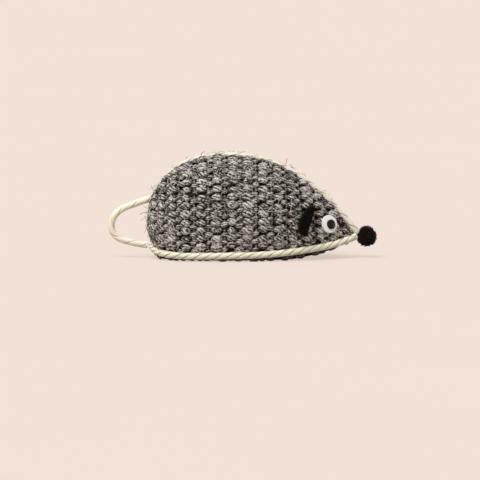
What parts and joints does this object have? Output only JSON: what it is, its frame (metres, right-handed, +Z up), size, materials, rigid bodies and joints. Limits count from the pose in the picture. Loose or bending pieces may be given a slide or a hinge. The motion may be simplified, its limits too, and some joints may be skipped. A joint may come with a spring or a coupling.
{
  "type": "catnip mouse",
  "caption": "Stuffed catnip mouse of coarse woven sisal cloth with rope along its seams, a rope tail loop, felt ears, rolling-pupil eyes and a pompom nose.",
  "frame": {"origin": "bottom centre of the mouse without its tail, on the surface it stands on", "axes": "+X towards the snout, along the length; +Y to the mouse's left; +Z up"},
  "size_m": [0.1198, 0.0492, 0.0471],
  "materials": {
    "sisal_cloth": "matte",
    "rope": "matte",
    "black_felt": "matte",
    "black_pile": "matte",
    "black_thread": "matte",
    "sewing_thread": "matte",
    "eye_white": "gloss",
    "eye_black": "gloss",
    "eye_clear": "gloss",
    "fibre_fill": "matte",
    "muslin": "matte",
    "catnip_leaf": "matte"
  },
  "bodies": {
    "mouse": {"base_panel": "sisal_cloth", "spine_rope": "rope", "spine_seam_thread": "sewing_thread", "nose_pompom": "black_pile", "nose_thread": "black_thread", "stuffing": "fibre_fill", "pouch_upper_sheet": "muslin", "pouch_lower_sheet": "muslin", "catnip_fill": "catnip_leaf", "right_side_panel": "sisal_cloth", "right_base_rope": "rope", "right_base_seam_thread": "sewing_thread", "right_eye_back": "eye_white", "right_eye_dome": "eye_clear", "left_side_panel": "sisal_cloth", "left_base_rope": "rope", "left_base_seam_thread": "sewing_thread", "left_eye_back": "eye_white", "left_eye_dome": "eye_clear"},
    "tail": {"tail_loop": "rope"},
    "right_ear": {"right_ear": "black_felt"},
    "left_ear": {"left_ear": "black_felt"},
    "right_pupil": {"right_eye_pupil": "eye_black"},
    "left_pupil": {"left_eye_pupil": "eye_black"}
  },
  "joints": [
    {"name": "tail_swing", "type": "hinge", "parent": "mouse", "child": "tail", "pos_m": [-0.05245, 0, 0.0159], "axis": [0.0955, 0, 0.9954], "range_deg": [-70, 70], "stiffness_Nm_per_rad": 0.00002},
    {"name": "right_ear_flap", "type": "hinge", "parent": "mouse", "child": "right_ear", "pos_m": [0.02156, -0.01379, 0.01714], "axis": [0.2877, 0.3201, 0.9027], "range_deg": [-20, 80], "stiffness_Nm_per_rad": 0.00003},
    {"name": "left_ear_flap", "type": "hinge", "parent": "mouse", "child": "left_ear", "pos_m": [0.02156, 0.01379, 0.01714], "axis": [-0.2877, 0.3201, -0.9027], "range_deg": [-20, 80], "stiffness_Nm_per_rad": 0.00003},
    {"name": "right_pupil_roll", "type": "hinge", "parent": "mouse", "child": "right_pupil", "pos_m": [0.0299, -0.00846, 0.01565], "axis": [0.5302, -0.8292, 0.177], "continuous": true},
    {"name": "left_pupil_roll", "type": "hinge", "parent": "mouse", "child": "left_pupil", "pos_m": [0.0299, 0.00846, 0.01565], "axis": [0.5302, 0.8292, 0.177], "continuous": true}
  ]
}
